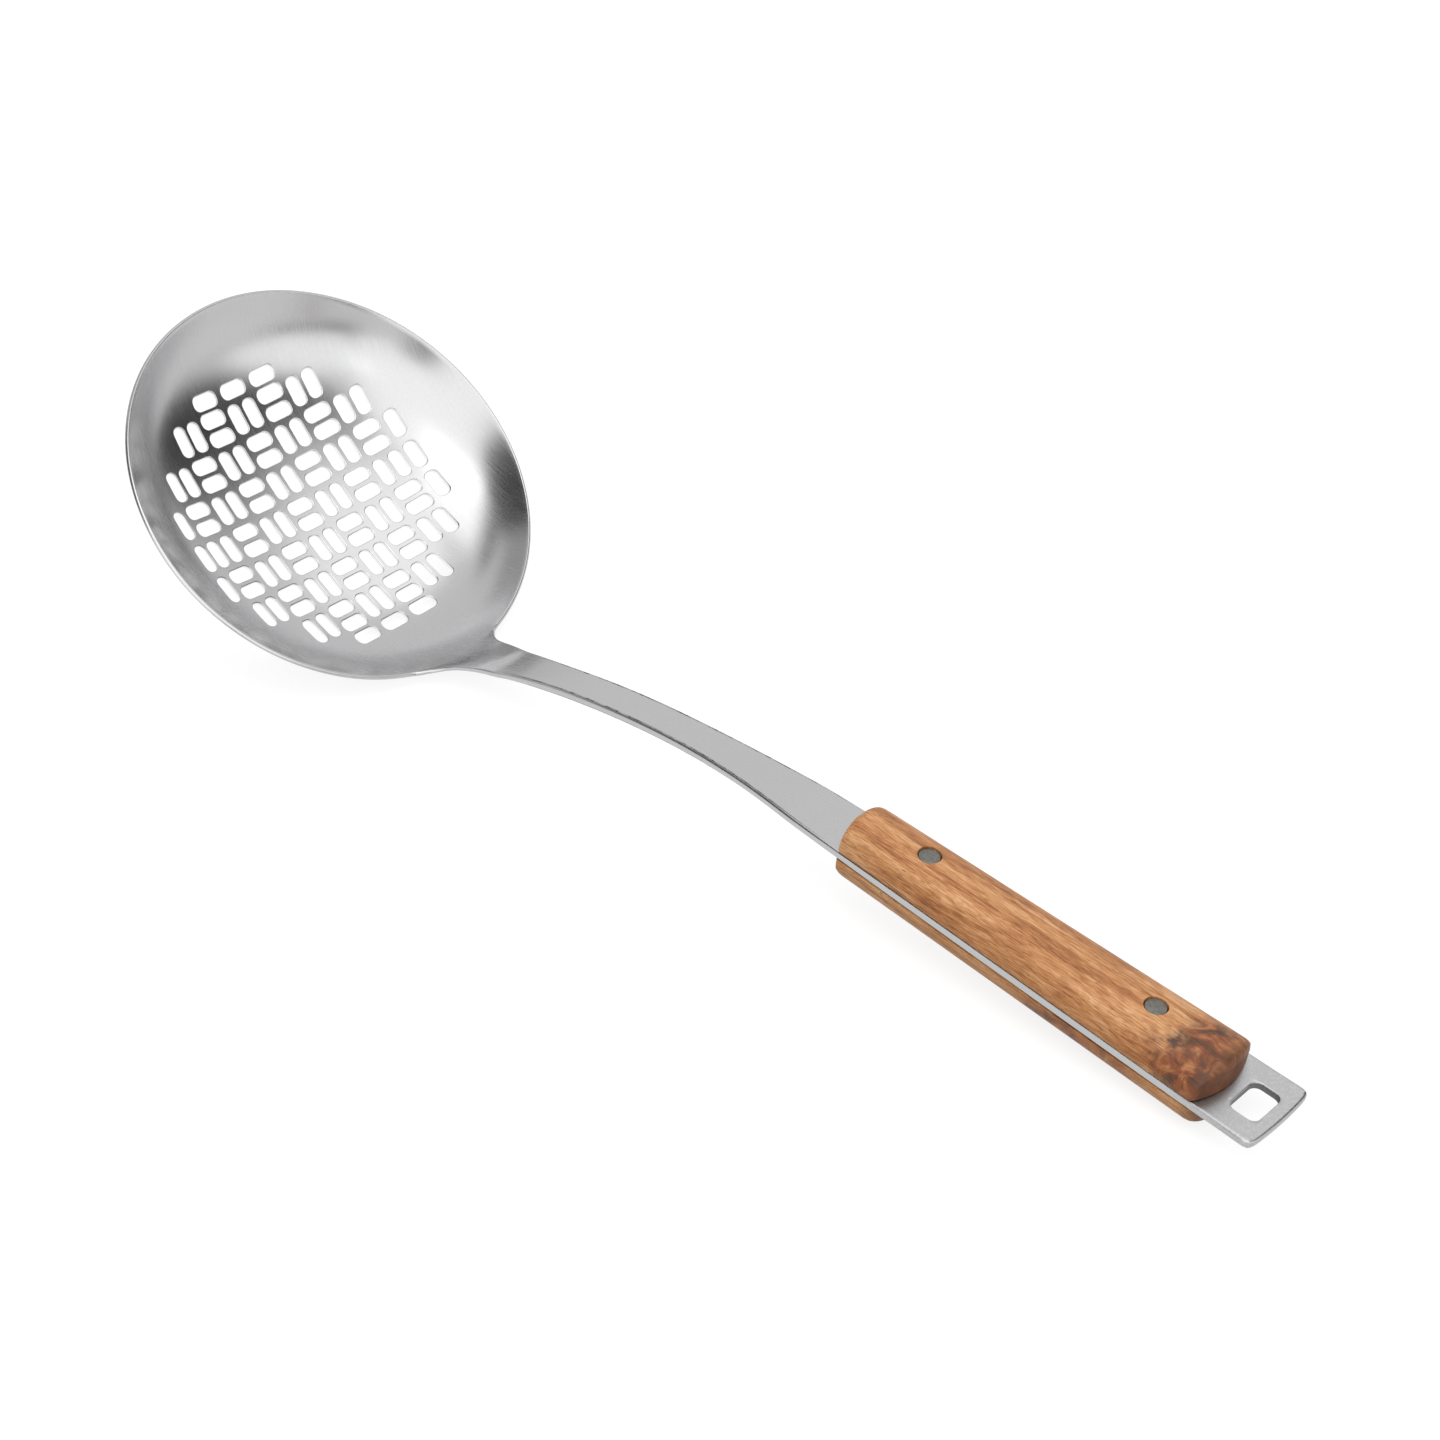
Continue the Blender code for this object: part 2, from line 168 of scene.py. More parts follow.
def brushedSteel(name, look):  # stainless steel, pressed and then satin brushed: soft broad reflections, fine lines
    material, tree, shader = makeMaterial(name)
    shader.inputs["Metallic"].default_value = 1
    spot = addNode(tree, "ShaderNodeTexCoord").outputs["Object"]
    apart = addNode(tree, "ShaderNodeSeparateXYZ", None, {0: spot})
    tabShare = addNode(tree, "ShaderNodeMapRange", {"From Min": tabFinishAndPaintedShade["start"], "From Max": tabFinishAndPaintedShade["end"]},
                       {"Value": apart.outputs["X"]})
    mottle = addNode(tree, "ShaderNodeTexNoise", {"Scale": 1000 / look["mottleMm"], "Detail": 2.0}, {"Vector": spot})
    shows = addNode(tree, "ShaderNodeMapRange", {"To Min": look["mottle"]}, {"Value": tabShare.outputs[0]})
    toned = addNode(tree, "ShaderNodeMix", {2: 0.5}, {0: shows.outputs[0], 3: mottle.outputs["Fac"]})
    # painted shade: the tab's colour is pulled down to stand in for the dim reflection it shows
    paintedShade = addNode(tree, "ShaderNodeMath", {"operation": "MULTIPLY_ADD", 1: -tabFinishAndPaintedShade["paintedShade"]},
                     {0: tabShare.outputs[0], 2: toned.outputs[0]})
    colour = addNode(tree, "ShaderNodeValToRGB", None, {"Fac": paintedShade.outputs[0]},
                     list(zip(steelPattern["colourStops"], look["colours"])))
    tree.links.new(colour.outputs[0], shader.inputs["Base Color"])
    length, width = (1000 / size for size in look["grainMm"])
    along = addNode(tree, "ShaderNodeMapping", {"Scale": (length, width, length)}, {"Vector": spot})
    lines = addNode(tree, "ShaderNodeTexNoise", {"Scale": 1.0, "Detail": 2.0}, {"Vector": along.outputs[0]})
    drift = addNode(tree, "ShaderNodeTexNoise", {"Scale": 1000 / steelPattern["driftMm"], "Detail": 3.0},
                    {"Vector": spot})
    both = addNode(tree, "ShaderNodeMix", {0: steelPattern["driftShare"]},
                   {2: lines.outputs["Fac"], 3: drift.outputs["Fac"]})
    low, high = steelPattern["roughStops"]
    glossy, dull = look["roughness"]
    rough = addNode(tree, "ShaderNodeMapRange", {"From Min": low, "From Max": high, "To Min": glossy, "To Max": dull},
                    {"Value": both.outputs[0]})
    duller = addNode(tree, "ShaderNodeMath", {"operation": "MULTIPLY_ADD", 1: tabFinishAndPaintedShade["roughness"]},
                     {0: tabShare.outputs[0], 2: rough.outputs[0]})
    tree.links.new(duller.outputs[0], shader.inputs["Roughness"])
    bump = addNode(tree, "ShaderNodeBump",
                   {"Strength": steelPattern["grainStrength"], "Distance": look["grainDepthMm"] / 1000},
                   {"Height": lines.outputs["Fac"]})
    tree.links.new(bump.outputs[0], shader.inputs["Normal"])
    return material


upperWoodLook = {
    "light": "#dcaa7a", "middle": "#b97d48", "dark": "#82471c", "pore": "#643818",
    "figure": ("#281005", "#5a270a", "#813f13", "#b07648"), "smudge": "#432a22", "endGrain": "#5c3312",
    "figurePlace": (0.1180, -0.0055, 0.005), "figureReach": 0.0155, "smudgePlace": (0.1112, -0.0059, 0.0068),
}
# the lower scale is the same acacia as the upper; its light, middle and dark tones are painted lighter as painted light
# against the shade under the handle
lowerWoodPaintedLightLook = {
    "light": "#e0b080", "middle": "#c08650", "dark": "#854a22", "pore": "#5a3119",
    "figure": ("#62391f", "#94592f", "#a86c3e", "#b98d66"), "smudge": "#6b452e", "endGrain": "#6a4024",
    "figurePlace": (0.0900, -0.009, -0.006), "figureReach": 0.0200, "smudgePlace": (0.0765, -0.009, -0.006),
}
woodGrain = {
    "bandMm": (30, 3.0), "fibreMm": (4, 0.25), "poreMm": (1.8, 0.26), "poreDepthMm": 0.05, "poreStrength": 0.5,
    "toneStops": (0.38, 0.5, 0.62), "poreNoise": (0.62, 0.76), "poreShare": 0.8, "roughness": (0.42, 0.62),
    "swirlMm": 5.88235, "swirlStops": (0.36, 0.47, 0.55, 0.68), "figureCore": 0.45, "figureShare": 0.9,
    "wanderMm": 9.0909, "wander": 0.011, "smudgeReach": (0.0046, 0.0010), "smudgeShare": 0.8,
    "buttReach": (0.1175, 0.1232), "buttShare": 0.75,  # places in metres, along the handle
}


def oiledWood(name, look, grain):  # acacia, sanded and oiled: long fibres, short dark pores, low sheen
    material, tree, shader = makeMaterial(name)
    spot = addNode(tree, "ShaderNodeTexCoord").outputs["Object"]
    place, turn, _ = handleFrame.inverted().decompose()
    local = addNode(tree, "ShaderNodeMapping", {"Location": place, "Rotation": turn.to_euler()}, {"Vector": spot})
    drawnOut = {}  # pattern spaces stretched along the handle
    for key in ("bandMm", "fibreMm", "poreMm"):
        length, width = (1000 / size for size in grain[key])
        drawnOut[key] = addNode(tree, "ShaderNodeMapping", {"Scale": (length, width, width)},
                                {"Vector": local.outputs[0]}).outputs[0]
    bands = addNode(tree, "ShaderNodeTexNoise", {"Scale": 1.0, "Detail": 4.0, "Roughness": 0.6, "Distortion": 0.5},
                    {"Vector": drawnOut["bandMm"]})
    fibres = addNode(tree, "ShaderNodeTexNoise", {"Scale": 1.0, "Detail": 3.0, "Roughness": 0.65},
                     {"Vector": drawnOut["fibreMm"]})
    pores = addNode(tree, "ShaderNodeTexNoise", {"Scale": 1.0, "Detail": 1.0}, {"Vector": drawnOut["poreMm"]})
    tone = addNode(tree, "ShaderNodeMix", {0: 0.5}, {2: bands.outputs["Fac"], 3: fibres.outputs["Fac"]})
    tones = (look["dark"], look["middle"], look["light"])
    colour = addNode(tree, "ShaderNodeValToRGB", None, {"Fac": tone.outputs[0]}, list(zip(grain["toneStops"], tones)))
    low, high = grain["poreNoise"]
    poreMask = addNode(tree, "ShaderNodeMapRange", {"From Min": low, "From Max": high, "To Max": grain["poreShare"]},
                       {"Value": pores.outputs["Fac"]})
    wander = addNode(tree, "ShaderNodeTexNoise",
                     {"Scale": 1000 / grain["wanderMm"], "Detail": 4.0, "Roughness": 0.7}, {"Vector": local.outputs[0]})
    sway = addNode(tree, "ShaderNodeMath", {"operation": "MULTIPLY_ADD", 1: 2 * grain["wander"], 2: -grain["wander"]},
                   {0: wander.outputs["Fac"]})

    def blotch(place, outer, inner, share):  # where a dark blotch with a wandering edge shows
        away = addNode(tree, "ShaderNodeVectorMath", {"operation": "DISTANCE", 1: place}, {0: local.outputs[0]})
        edge = addNode(tree, "ShaderNodeMath", {"operation": "ADD"}, {0: away.outputs["Value"], 1: sway.outputs[0]})
        return addNode(tree, "ShaderNodeMapRange", {"From Min": outer, "From Max": inner, "To Max": share,
                                                    "interpolation_type": "SMOOTHSTEP"}, {"Value": edge.outputs[0]})

    figureMask = blotch(look["figurePlace"], look["figureReach"], look["figureReach"] * grain["figureCore"],
                        grain["figureShare"])
    smudgeMask = blotch(look["smudgePlace"], *grain["smudgeReach"], grain["smudgeShare"])
    swirl = addNode(tree, "ShaderNodeTexNoise", {"Scale": 1000 / grain["swirlMm"], "Detail": 5.0, "Roughness": 0.55,
                                                 "Distortion": 1.4}, {"Vector": local.outputs[0]})
    figure = addNode(tree, "ShaderNodeValToRGB", None, {"Fac": swirl.outputs["Fac"]},
                     list(zip(grain["swirlStops"], look["figure"])))
    withFigure = addNode(tree, "ShaderNodeMix", {"data_type": "RGBA"},
                         {0: figureMask.outputs[0], 6: colour.outputs[0], 7: figure.outputs[0]})
    withSmudge = addNode(tree, "ShaderNodeMix", {"data_type": "RGBA", 7: linear(look["smudge"])},
                         {0: smudgeMask.outputs[0], 6: withFigure.outputs[2]})
    apart = addNode(tree, "ShaderNodeSeparateXYZ", None, {0: local.outputs[0]})
    buttStart, buttEnd = grain["buttReach"]
    buttMask = addNode(tree, "ShaderNodeMapRange", {"From Min": buttStart, "From Max": buttEnd,
                                                    "To Max": grain["buttShare"], "interpolation_type": "SMOOTHSTEP"},
                       {"Value": apart.outputs["X"]})
    withEnd = addNode(tree, "ShaderNodeMix", {"data_type": "RGBA", 7: linear(look["endGrain"])},
                      {0: buttMask.outputs[0], 6: withSmudge.outputs[2]})
    withPores = addNode(tree, "ShaderNodeMix", {"data_type": "RGBA", 7: linear(look["pore"])},
                        {0: poreMask.outputs[0], 6: withEnd.outputs[2]})
    tree.links.new(withPores.outputs[2], shader.inputs["Base Color"])
    glossy, dull = grain["roughness"]
    rough = addNode(tree, "ShaderNodeMapRange", {"To Min": glossy, "To Max": dull}, {"Value": fibres.outputs["Fac"]})
    tree.links.new(rough.outputs[0], shader.inputs["Roughness"])
    height = addNode(tree, "ShaderNodeMath", {"operation": "SUBTRACT"},
                     {0: fibres.outputs["Fac"], 1: poreMask.outputs[0]})
    bump = addNode(tree, "ShaderNodeBump",
                   {"Strength": grain["poreStrength"], "Distance": grain["poreDepthMm"] / 1000},
                   {"Height": height.outputs[0]})
    tree.links.new(bump.outputs[0], shader.inputs["Normal"])
    return material


rivetLook = {"colours": ("#6a6a64", "#85847e"), "colourStops": (0.3, 0.7), "roughness": (0.45, 0.65),
             "mottleMm": 0.714286, "mottleDepthMm": 0.02, "mottleStrength": 0.3}


def tumbledRivet(name, look):  # turned steel rivet, tumbled dull: even grey with a fine mottle
    material, tree, shader = makeMaterial(name)
    shader.inputs["Metallic"].default_value = 1
    spot = addNode(tree, "ShaderNodeTexCoord").outputs["Object"]
    mottle = addNode(tree, "ShaderNodeTexNoise", {"Scale": 1000 / look["mottleMm"], "Detail": 3.0}, {"Vector": spot})
    colour = addNode(tree, "ShaderNodeValToRGB", None, {"Fac": mottle.outputs["Fac"]},
                     list(zip(look["colourStops"], look["colours"])))
    tree.links.new(colour.outputs[0], shader.inputs["Base Color"])
    glossy, dull = look["roughness"]
    rough = addNode(tree, "ShaderNodeMapRange", {"To Min": glossy, "To Max": dull}, {"Value": mottle.outputs["Fac"]})
    tree.links.new(rough.outputs[0], shader.inputs["Roughness"])
    bump = addNode(tree, "ShaderNodeBump",
                   {"Strength": look["mottleStrength"], "Distance": look["mottleDepthMm"] / 1000},
                   {"Height": mottle.outputs["Fac"]})
    tree.links.new(bump.outputs[0], shader.inputs["Normal"])
    return material


steelMaterial = brushedSteel("stainless_steel_satin_brushed", brushedSteelLook)
shearedEdgePaintedShadeMaterial = brushedSteel("stainless_steel_sheared_edge_painted_shade", shearedEdgePaintedShadeLook)  # dull walls of the eye: rough like a sheared edge, their dark grey partly its own tone and partly painted shade in the recess
burnishedEdgePaintedLightMaterial = brushedSteel("stainless_steel_burnished_edge_painted_light", burnishedEdgePaintedLightLook)  # bright walls of the slots: glossier like a burnished edge, and painted near white as painted light
upperWood = oiledWood("acacia_oiled_upper", upperWoodLook, woodGrain)
# the lower scale's tones carry painted light
lowerWoodPaintedLight = oiledWood("acacia_oiled_lower_painted_light", lowerWoodPaintedLightLook, woodGrain)
rivetMaterial = tumbledRivet("steel_rivet_tumbled", rivetLook)
print("materials made")


# Steel body: bowl, neck, shank, tang and tab, one sheet
bowl = {"radius": 0.0570, "depth": 0.0197, "floorCurve": 0.50, "thickness": 0.0011, "sides": 72, "rings": 14}
neck = {"length": 0.0295, "rise": 0.0040, "hollow": 0.0200, "angle": 15, "width": 0.0199, "fillet": 0.0100,
        "flare": 0.0428, "hollowHold": 1.6, "swell": 0.0009, "swellStart": 0.0030, "rows": 20, "crowding": 1.2}
shank = {"length": 0.0916, "width": 0.0110, "flare": 0.0478, "thickness": 0.0021, "rows": 14}
slopes = {"neck": 61.5, "shank": 48.9, "handle": 30.3}  # degrees against the rim's plane
tang = {"length": 0.1380, "coverStart": 0.0138, "tabLength": 0.0144, "frontWidth": 0.0163, "endWidth": 0.0248,
        "endBulge": 0.0006,
        "insets": (0.122, 0.106, 0.090, 0.074, 0.058, 0.042, 0.028, 0.018, 0.012, 0.008, 0.004, 0)}  # rows from the end
sheetEdge = {"bowl": 0.00035, "shank": 0.00095, "tang": 0.00030, "tab": 0.00080, "segments": 4, "sharpAngle": 45,
             "smoothAngle": 25}
slot = {"pitch": 0.01014, "pairSpacing": 0.0052, "length": 0.0080, "width": 0.0039, "corner": 0.0017,
        "edgeDistance": 0.0380, "cells": 3, "edgeRound": 0.00022}
eye = {"length": 0.0076, "width": 0.0116, "corner": 0.0021, "endWall": 0.0037, "edgeRound": 0.00025}

rimSlope = math.atan(bowl["depth"] / bowl["radius"] * (6 - 4 * bowl["floorCurve"]))


def bowlHeight(radius):
    share = radius / bowl["radius"]
    return bowl["depth"] * (bowl["floorCurve"] * share ** 2 + (1 - bowl["floorCurve"]) * share ** 6 - 1)


def bowlSlope(radius):
    share = radius / bowl["radius"]
    rise = 2 * bowl["floorCurve"] * share + 6 * (1 - bowl["floorCurve"]) * share ** 5
    return math.atan(bowl["depth"] / bowl["radius"] * rise)


def shankPath(distance):  # point and slope along the upper face, from the rim
    neckSlope, shankSlope, handleSlope = (math.radians(slopes[key]) for key in ("neck", "shank", "handle"))
    legs = ((neck["rise"], rimSlope, neckSlope), (neck["length"] - neck["rise"], neckSlope, shankSlope),
            (shank["length"], shankSlope, handleSlope), (tang["length"], handleSlope, handleSlope))
    x, z = bowl["radius"], 0
    for length, start, end in legs:
        run = min(distance, length)
        slope = start + (end - start) * run / length
        halfTurn = (slope - start) / 2
        chord = run * math.sin(halfTurn) / halfTurn if halfTurn else run
        x += chord * math.cos((start + slope) / 2)
        z += chord * math.sin((start + slope) / 2)
        distance -= run
        if distance <= 0:
            break
    return x, z, slope


def tangHalfWidth(along):
    return (tang["frontWidth"] + (tang["endWidth"] - tang["frontWidth"]) * along / tang["length"]) / 2


def shankHalfWidth(distance):
    left = neck["length"] + shank["length"] - distance
    rimWidth = 2 * bowl["radius"] * math.sin(math.radians(neck["angle"]))
    width = shank["width"]
    width += (neck["width"] - shank["width"]) * max(1 - distance / neck["flare"], 0) ** 2
    width += (rimWidth - neck["width"]) * max(1 - distance / neck["fillet"], 0) ** 2
    width += (tang["frontWidth"] - shank["width"]) * max(1 - left / shank["flare"], 0) ** 2
    return width / 2


def sheetRow(distance, columns):  # points across the neck, shank or tang
    x, z, slope = shankPath(distance)
    tangAlong = distance - neck["length"] - shank["length"]
    halfWidth = shankHalfWidth(distance) if tangAlong <= 0 else tangHalfWidth(tangAlong)
    hollow = bowl["radius"] * (1 - math.cos(math.radians(neck["angle"])))
    hollow *= 1 - min(distance / neck["hollow"], 1) ** neck["hollowHold"]
    share = min(max((distance - neck["swellStart"]) / (neck["hollow"] - neck["swellStart"]), 0), 1)
    swell = neck["swell"] * 6.75 * share ** 2 * (1 - share)  # 6.75 makes its top, two thirds along, equal the setting
    bow = tang["endBulge"] if tang["length"] - tangAlong < tiny else 0
    along = Vector((math.cos(slope), 0, math.sin(slope)))
    normal = Vector((-math.sin(slope), 0, math.cos(slope)))
    points = []
    for column in range(columns + 1):
        across = 2 * column / columns - 1
        dish = hollow * math.sin(rimSlope) * normal - (hollow * math.cos(rimSlope) + bow) * along
        points.append(Vector((x, across * halfWidth, z)) + dish * across ** 2 + swell * (1 - across ** 2) * normal)
    return points


def pressBowl():  # a disc of rings, pressed to the bowl's curve and left in edit mode
    freshStart()
    bpy.ops.mesh.primitive_circle_add(vertices=bowl["sides"], radius=bowl["radius"])
    sheet = bpy.context.object
    sheet.vertex_groups.new(name="thickness")
    bpy.ops.object.mode_set(mode="EDIT")
    bpy.ops.mesh.select_mode(type="EDGE")
    bpy.ops.mesh.select_all(action="SELECT")
    for ring in range(bowl["rings"] - 1, 0, -1):  # rings drawn in from the rim
        shrink = ring / (ring + 1)
        bpy.ops.mesh.extrude_region_move()
        bpy.ops.transform.resize(value=(shrink, shrink, 1), center_override=(0, 0, 0))
    bpy.ops.mesh.extrude_region_move()
    bpy.ops.mesh.merge(type="CENTER")
    form = bmesh.from_edit_mesh(sheet.data)
    weights = form.verts.layers.deform.verify()
    for vert in form.verts:
        vert.co.z = bowlHeight(vert.co.xy.length)
        vert[weights][0] = bowl["thickness"] / shank["thickness"]
    bmesh.update_edit_mesh(sheet.data)
    return sheet


def drawOutShank(sheet):  # the neck, shank and tang drawn out of the rim, row by row
    bpy.ops.mesh.select_all(action="DESELECT")
    form = bmesh.from_edit_mesh(sheet.data)
    reach = math.radians(neck["angle"] + 180 / bowl["sides"])  # half a side past the neck's edge
    for edge in form.edges:
        onRim = all(v.co.xy.length > bowl["radius"] - tiny for v in edge.verts)
        edge.select_set(onRim and all(abs(math.atan2(v.co.y, v.co.x)) < reach for v in edge.verts))
    bmesh.update_edit_mesh(sheet.data)
    distances = [neck["length"] * (row / neck["rows"]) ** neck["crowding"] for row in range(1, neck["rows"] + 1)]
    distances += [neck["length"] + shank["length"] * row / shank["rows"] for row in range(1, shank["rows"] + 1)]
    distances += [neck["length"] + shank["length"] + tang["length"] - inset for inset in tang["insets"]]
    for distance in distances:
        bpy.ops.mesh.extrude_region_move()
        form = bmesh.from_edit_mesh(sheet.data)
        weights = form.verts.layers.deform.verify()
        row = sorted((v for v in form.verts if v.select), key=lambda v: v.co.y)
        thin = fade(distance / neck["flare"]) * (bowl["thickness"] / shank["thickness"] - 1)
        for vert, point in zip(row, sheetRow(distance, len(row) - 1)):
            vert.co = point
            vert[weights][0] = 1 + thin
        bmesh.update_edit_mesh(sheet.data)
    bpy.ops.mesh.select_all(action="SELECT")
    bpy.ops.mesh.normals_make_consistent(inside=False)
    form = bmesh.from_edit_mesh(sheet.data)
    if sum(face.normal.z * face.calc_area() for face in form.faces) < 0:
        bpy.ops.mesh.flip_normals()
    bpy.ops.object.mode_set(mode="OBJECT")


def roundSheetEdges(sheet):  # rounder on the bare shank and the tab than on the thin rim and between the scales
    form = bmesh.new()
    form.from_mesh(sheet.data)
    weights = form.edges.layers.float.new("bevel_weight_edge")
    shankEnd = neck["length"] + shank["length"]
    tabStart = shankEnd + tang["length"] - tang["tabLength"]
    flareX, tangX, tabX = (shankPath(place)[0] for place in (neck["flare"], shankEnd + tang["coverStart"], tabStart))
    widest = max(sheetEdge["shank"], sheetEdge["tab"])
    for edge in form.edges:
        if edge.calc_face_angle(0) > math.radians(sheetEdge["sharpAngle"]):
            along = min(vert.co.x for vert in edge.verts)
            thin = fade((along - bowl["radius"]) / (flareX - bowl["radius"]))
            width = sheetEdge["tab" if along > tabX else "tang" if along > tangX else "shank"]
            edge[weights] = (width + (sheetEdge["bowl"] - width) * thin) / widest
    form.to_mesh(sheet.data)
    form.free()
    applyModifier(sheet, "BEVEL", width=widest, segments=sheetEdge["segments"], limit_method="WEIGHT",
                  use_clamp_overlap=False)


def makeSheet():
    sheet = pressBowl()
    drawOutShank(sheet)
    applyModifier(sheet, "SUBSURF", levels=2, render_levels=2)
    applyModifier(sheet, "SOLIDIFY", thickness=shank["thickness"], offset=-1, use_even_offset=True,
                  vertex_group="thickness")
    roundSheetEdges(sheet)
    sheet.vertex_groups.clear()
    return sheet


def makePunch(length, width, corner, levels, cornerSegments=5):  # a rounded blank drawn through (height, growth) levels
    freshStart()
    bpy.ops.mesh.primitive_plane_add(size=1)
    punch = bpy.context.object
    bpy.ops.object.mode_set(mode="EDIT")
    bpy.ops.mesh.select_all(action="SELECT")
    bpy.ops.transform.resize(value=(length, width, 1), center_override=(0, 0, 0))
    bpy.ops.mesh.bevel(offset=corner, segments=cornerSegments, affect="VERTICES", offset_type="OFFSET", profile=0.5)
    lastHeight, lastGrowth = 0, 0
    for step, (height, growth) in enumerate(levels):
        if step:
            bpy.ops.mesh.extrude_region_move()
        bpy.ops.transform.translate(value=(0, 0, height - lastHeight))
        stretch = [(size + 2 * growth) / (size + 2 * lastGrowth) for size in (length, width)]
        bpy.ops.transform.resize(value=(*stretch, 1), center_override=(0, 0, 0))
        lastHeight, lastGrowth = height, growth
    bpy.ops.mesh.select_all(action="SELECT")
    bpy.ops.mesh.normals_make_consistent(inside=False)
    bpy.ops.object.mode_set(mode="OBJECT")
    return punch


def punchLevels(thickness, edgeRound):  # straight walls with a small flare at both faces of the sheet
    inward, outward = 0.35 * edgeRound, 0.3 * edgeRound  # a point on the flare's curve
    below, above = -4 * thickness, 3 * thickness  # the punch stands clear of both faces
    return ((below, edgeRound), (-thickness, edgeRound), (-thickness + inward, outward), (-thickness + edgeRound, 0),
            (-edgeRound, 0), (-inward, outward), (0, edgeRound), (above, edgeRound))


def slotPlaces():
    cells = range(-slot["cells"], slot["cells"] + 1)
    half = slot["pairSpacing"] / 2
    for row in cells:
        for column in cells:
            if abs(row) == abs(column) == slot["cells"]:
                continue
            x, y = row * slot["pitch"], column * slot["pitch"]
            if (row + column) % 2 == 0:
                yield from ((x - half, y, 90), (x + half, y, 90))
            else:
                yield from ((x, y - half, 0), (x, y + half, 0))
    for side in (-slot["edgeDistance"], slot["edgeDistance"]):
        for step in (-1, 0, 1):
            yield side, step * slot["pitch"], 90
            yield step * slot["pitch"], side, 0


def makeSlotPunches():
    master = makePunch(slot["length"], slot["width"], slot["corner"], punchLevels(bowl["thickness"], slot["edgeRound"]))
    copies = []
    for x, y, turn in slotPlaces():
        copies.append(copyOf(master, Matrix.Translation((x, y, 0)) @ Matrix.Rotation(math.radians(turn), 4, "Z")))
    bpy.data.objects.remove(master, do_unlink=True)
    punches = joinAll(copies)
    for vert in punches.data.vertices:  # the flares follow both faces of the bowl
        radius = vert.co.xy.length
        below = bowl["thickness"] * (1 - 1 / math.cos(bowlSlope(radius)))
        vert.co.z += bowlHeight(radius) + (below if vert.co.z < -bowl["thickness"] / 2 else 0)
    return punches


steelBody = makeSheet()
settle(steelBody, bowlFrame)
slotPunches = makeSlotPunches()
settle(slotPunches, bowlFrame)
cutAway(steelBody, slotPunches)
eyePunch = makePunch(eye["length"], eye["width"], eye["corner"], punchLevels(shank["thickness"], eye["edgeRound"]))
eyeMiddle = tang["length"] - eye["endWall"] - eye["length"] / 2
settle(eyePunch, handleFrame @ Matrix.Translation((eyeMiddle, 0, 0)))
cutAway(steelBody, eyePunch)

# Wooden scales, and the rivets that hold them
scale = {"setback": tang["coverStart"], "length": 0.1098, "thickness": 0.0075, "roundness": 2.4, "frontBulge": 0.0009,
         "buttBulge": 0.0026, "endRound": 0.0025, "cornerRound": 0.0009, "gap": 0.0003, "cuts": 39, "crowding": 0.78,
         "smoothAngle": 32}
rivet = {"frontInset": 0.0211, "rearInset": 0.0227, "headDiameter": 0.0054, "headThickness": 0.0020, "recess": 0.0004,
         "socketDiameter": 0.0040, "postDiameter": 0.0023, "endRoom": 0.0010, "sides": 48,
         "edgeRound": 0.00018, "edgeSegments": 3, "sharpAngle": 60, "smoothAngle": 35}
headTop = scale["gap"] + scale["thickness"] - rivet["recess"]
headBottom = -shank["thickness"] - headTop
rivetPlaces = (scale["setback"] + rivet["frontInset"], scale["setback"] + scale["length"] - rivet["rearInset"])


def roundOff(inset, radius):  # how far a rounded edge falls away, by distance from the end
    left = max(radius - inset, 0)
    return radius - math.sqrt(max(radius ** 2 - left ** 2, 0))


def makeScale(side):
    freshStart()
    bpy.ops.mesh.primitive_cube_add(size=2)
    blank = bpy.context.object
    bpy.ops.object.mode_set(mode="EDIT")
    bpy.ops.mesh.select_all(action="SELECT")
    bpy.ops.mesh.subdivide(number_cuts=scale["cuts"])
    bpy.ops.object.mode_set(mode="OBJECT")
    base = scale["gap"] if side > 0 else -shank["thickness"] - scale["gap"]
    power = scale["roundness"]
    for vert in blank.data.vertices:  # the blank shaped to its full round back and bowed ends
        spot = (vert.co.x + 1) / 2
        spot -= scale["crowding"] * math.sin(2 * math.pi * spot) / (2 * math.pi)
        across, height = vert.co.y, (vert.co.z * side + 1) / 2
        size = math.hypot(across, height)
        if size > 0:
            spread = max(abs(across), height) / size
            spread *= (abs(across / size) ** power + (height / size) ** power) ** (-1 / power)
            across, height = across * spread, height * spread
        front = scale["setback"] + scale["frontBulge"] * across ** 2
        butt = scale["setback"] + scale["length"] - scale["buttBulge"] * across ** 2
        x = front + (butt - front) * spot
        inset = min(spot, 1 - spot) * scale["length"]
        lower = 1 - roundOff(inset, scale["endRound"]) / scale["thickness"]
        halfWidth = tangHalfWidth(x) - roundOff(inset, scale["cornerRound"])
        vert.co = (x, across * halfWidth, base + side * scale["thickness"] * height * lower)
    bpy.ops.object.mode_set(mode="EDIT")
    bpy.ops.mesh.select_all(action="SELECT")
    bpy.ops.mesh.normals_make_consistent(inside=False)
    bpy.ops.object.mode_set(mode="OBJECT")
    return blank


def turnedForm(along, steps):  # a round blank drawn through (height, radius) steps, set on the handle
    freshStart()
    lastHeight, lastRadius = steps[0]
    bpy.ops.mesh.primitive_circle_add(vertices=rivet["sides"], radius=lastRadius, fill_type="NGON",
                                      location=(0, 0, lastHeight))
    form = bpy.context.object
    bpy.ops.object.mode_set(mode="EDIT")
    bpy.ops.mesh.select_all(action="SELECT")
    for height, radius in steps[1:]:
        bpy.ops.mesh.extrude_region_move()
        bpy.ops.transform.translate(value=(0, 0, height - lastHeight))
        stretch = radius / lastRadius
        bpy.ops.transform.resize(value=(stretch, stretch, 1), center_override=(0, 0, 0))
        lastHeight, lastRadius = height, radius
    bpy.ops.mesh.select_all(action="SELECT")
    bpy.ops.mesh.normals_make_consistent(inside=False)
    bpy.ops.object.mode_set(mode="OBJECT")
    bpy.ops.object.transform_apply(location=True, rotation=True, scale=True)
    settle(form, handleFrame @ Matrix.Translation((along, 0, 0)))
    return form


